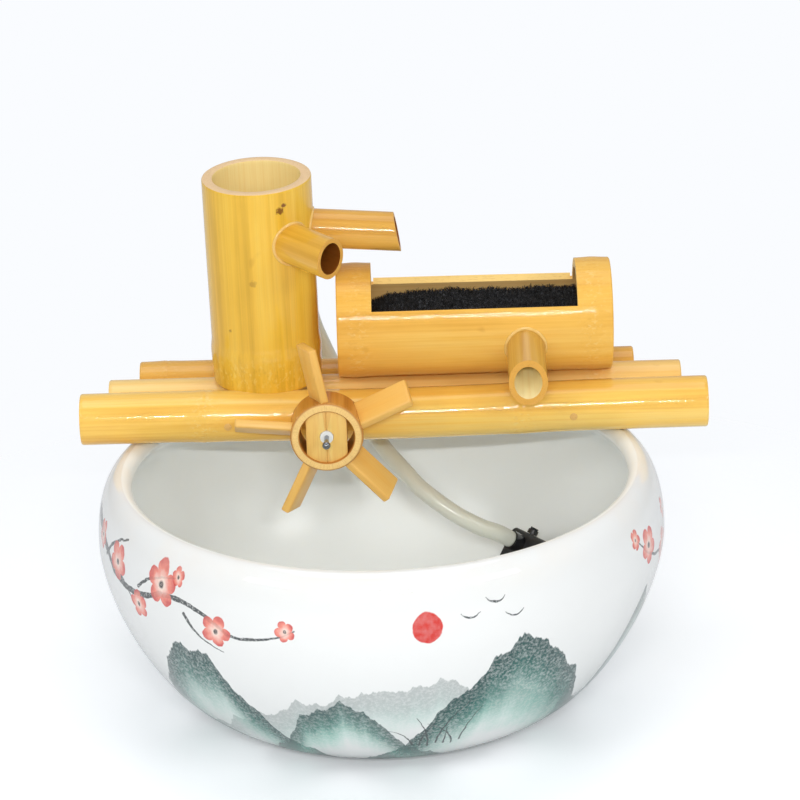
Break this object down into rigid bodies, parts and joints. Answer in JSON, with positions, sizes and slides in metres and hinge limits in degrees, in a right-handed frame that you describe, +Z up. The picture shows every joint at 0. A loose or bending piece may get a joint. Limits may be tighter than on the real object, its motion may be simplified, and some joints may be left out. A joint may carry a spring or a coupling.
{
  "type": "bamboo water-wheel fountain",
  "caption": "Table fountain: bamboo poles on a white painted ceramic bowl carry a bamboo cup with spouts, a filter trough and a paddle wheel, fed by a small pump.",
  "frame": {"origin": "on the table, below the middle of the front pole's length and level with the bowl's middle", "axes": "+X along the poles to the right as seen from the wheel's side, +Y away from the viewer, +Z up"},
  "size_m": [0.396, 0.3528, 0.3174],
  "materials": {
    "white_glaze": "clear glossy glaze over a white body, painted with a pond pattern in teal washes, ink grass and small pink blossoms",
    "front_bamboo": "warm yellow bamboo under glossy lacquer",
    "middle_bamboo": "pale bamboo under glossy lacquer",
    "rear_bamboo": "darker bamboo under glossy lacquer",
    "dowel_wood": "plain bamboo end grain",
    "cup_bamboo": "golden bamboo with upright grain under satin lacquer, pale cut rim",
    "feed_bamboo": "tan bamboo under satin lacquer",
    "splash_bamboo": "golden bamboo under satin lacquer, pale cut end",
    "drain_bamboo": "bamboo under satin lacquer, cream bore",
    "trough_bamboo": "warm bamboo with lengthwise grain under satin lacquer",
    "hub_bamboo": "matte tan bamboo, pale end grain, browned edge",
    "bridge_wood": "matte tan bamboo slats",
    "blade_wood": "matte tan bamboo slats with brown edges",
    "screw_steel": "stainless wood screws",
    "pin_steel": "polished stainless steel",
    "white_plastic": "white acetal",
    "black_foam": "coarse black open-cell filter foam",
    "clear_silicone": "milky translucent silicone",
    "grommet_rubber": "soft black rubber",
    "cup_rubber": "soft dark rubber",
    "casing_plastic": "satin black plastic with the motor potted inside",
    "black_plastic": "satin black plastic",
    "gloss_black_plastic": "glossy black plastic",
    "ivory_plastic": "moulded vanes on a ferrite magnet rotor"
  },
  "bodies": {
    "basin": {"bowl": "white_glaze"},
    "fountain_head": {"pole_front": "front_bamboo", "pole_middle": "middle_bamboo", "pole_rear": "rear_bamboo", "dowel_left": "dowel_wood", "dowel_right": "dowel_wood", "cup": "cup_bamboo", "spout_to_trough": "feed_bamboo", "spout_to_wheel": "splash_bamboo", "cup_screw": "screw_steel", "trough": "trough_bamboo", "spout_outlet": "drain_bamboo", "trough_screws": "screw_steel", "filter_foam": "black_foam", "axle_pin": "pin_steel", "axle_spacer": "white_plastic", "hose_grommet": "grommet_rubber", "hose": "clear_silicone", "pump_casing": "casing_plastic", "pump_cover": "black_plastic", "pump_chamber": "black_plastic", "pump_outlet": "gloss_black_plastic", "impeller_shaft": "pin_steel", "suction_cups": "cup_rubber", "cable_gland": "grommet_rubber"},
    "water_wheel": {"wheel_hub": "hub_bamboo", "bridge_front": "bridge_wood", "bridge_rear": "bridge_wood", "blade_1": "blade_wood", "blade_2": "blade_wood", "blade_3": "blade_wood", "blade_4": "blade_wood", "blade_5": "blade_wood", "wheel_bushing": "white_plastic"},
    "impeller": {"impeller": "ivory_plastic"},
    "flow_knob": {"flow_knob": "black_plastic"}
  },
  "joints": [
    {"name": "raft_lift", "type": "slide", "parent": "basin", "child": "fountain_head", "axis": [0, 0, 1], "range_m": [0, 0.18]},
    {"name": "wheel_turn", "type": "hinge", "parent": "fountain_head", "child": "water_wheel", "pos_m": [-0.0423, 0.004, 0.1688], "axis": [0, -1, 0], "continuous": true},
    {"name": "impeller_turn", "type": "hinge", "parent": "fountain_head", "child": "impeller", "pos_m": [0.09009, 0.07543, 0.04954], "axis": [-0.6018, 0.7986, 0], "continuous": true},
    {"name": "knob_turn", "type": "hinge", "parent": "fountain_head", "child": "flow_knob", "pos_m": [0.08786, 0.08752, 0.06201], "axis": [0.4747, 0.3577, 0.8041], "range_deg": [0, 90]}
  ]
}
